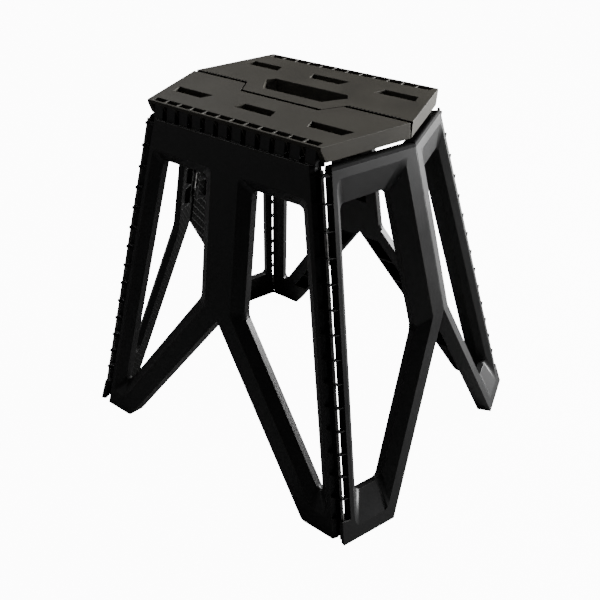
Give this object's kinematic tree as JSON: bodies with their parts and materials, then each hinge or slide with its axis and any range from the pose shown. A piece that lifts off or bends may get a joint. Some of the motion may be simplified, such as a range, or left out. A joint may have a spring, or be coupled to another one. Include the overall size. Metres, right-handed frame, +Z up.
{
  "type": "folding stool",
  "caption": "Folding stool of hollow moulded panels: a slotted seat in halves with a hand grip, framed sides and ends that fold flat on rod hinges.",
  "frame": {"origin": "on the floor under the middle of the seat, the stool standing open", "axes": "+Z up, +X towards the right-hand tip of the seat, +Y from the front side panel to the rear one"},
  "size_m": [0.4932, 0.3946, 0.45],
  "materials": {
    "seat": "fine matt grain, warm black",
    "panel": "satin moulded black",
    "rod": "black finished steel wire"
  },
  "bodies": {
    "seat_rear": {"seat_rear_half": "seat", "seat_edge_rod_rear": "rod", "seat_seam_rod_right": "rod", "seat_seam_rod_left": "rod"},
    "seat_front": {"seat_front_half": "seat", "seat_edge_rod_front": "rod"},
    "side_rear": {"side_panel_rear": "panel"},
    "side_front": {"side_panel_front": "panel"},
    "end_front_right": {"end_panel_front_right": "panel", "corner_rod_front_right": "rod"},
    "end_rear_right": {"end_panel_rear_right": "panel", "corner_rod_rear_right": "rod", "end_centre_rod_right": "rod"},
    "end_front_left": {"end_panel_front_left": "panel", "corner_rod_front_left": "rod"},
    "end_rear_left": {"end_panel_rear_left": "panel", "corner_rod_rear_left": "rod", "end_centre_rod_left": "rod"}
  },
  "joints": [
    {"name": "seat_fold", "type": "hinge", "parent": "seat_rear", "child": "seat_front", "pos_m": [0, 0, 0.431], "axis": [1, 0, 0], "range_deg": [0, 180]},
    {"name": "side_rear_hinge", "type": "hinge", "parent": "seat_rear", "child": "side_rear", "pos_m": [0, 0.10784, 0.442], "axis": [1, 0, 0], "range_deg": [0, 79.57]},
    {"name": "side_front_hinge", "type": "hinge", "parent": "seat_front", "child": "side_front", "pos_m": [0, -0.10784, 0.442], "axis": [-1, 0, 0], "range_deg": [0, 79.57]},
    {"name": "corner_front_right", "type": "hinge", "parent": "side_front", "child": "end_front_right", "pos_m": [0.22126, -0.19351, -0.00129], "axis": [0.2013, -0.1773, -0.9633], "range_deg": [0, 70.93]},
    {"name": "corner_rear_right", "type": "hinge", "parent": "side_rear", "child": "end_rear_right", "pos_m": [0.22126, 0.19351, -0.00129], "axis": [-0.2013, -0.1773, 0.9633], "range_deg": [0, 70.93]},
    {"name": "corner_front_left", "type": "hinge", "parent": "side_front", "child": "end_front_left", "pos_m": [-0.22126, -0.19351, -0.00129], "axis": [0.2013, 0.1773, 0.9633], "range_deg": [0, 70.93]},
    {"name": "corner_rear_left", "type": "hinge", "parent": "side_rear", "child": "end_rear_left", "pos_m": [-0.22126, 0.19351, -0.00129], "axis": [-0.2013, 0.1773, -0.9633], "range_deg": [0, 70.93]}
  ],
  "couplings": [
    {"joint": "side_rear_hinge", "follows": "seat_fold", "ratio": 0.44205},
    {"joint": "side_front_hinge", "follows": "seat_fold", "ratio": 0.44205},
    {"joint": "corner_front_right", "follows": "seat_fold", "ratio": 0.39401},
    {"joint": "corner_rear_right", "follows": "seat_fold", "ratio": 0.39401},
    {"joint": "corner_front_left", "follows": "seat_fold", "ratio": 0.39401},
    {"joint": "corner_rear_left", "follows": "seat_fold", "ratio": 0.39401}
  ]
}
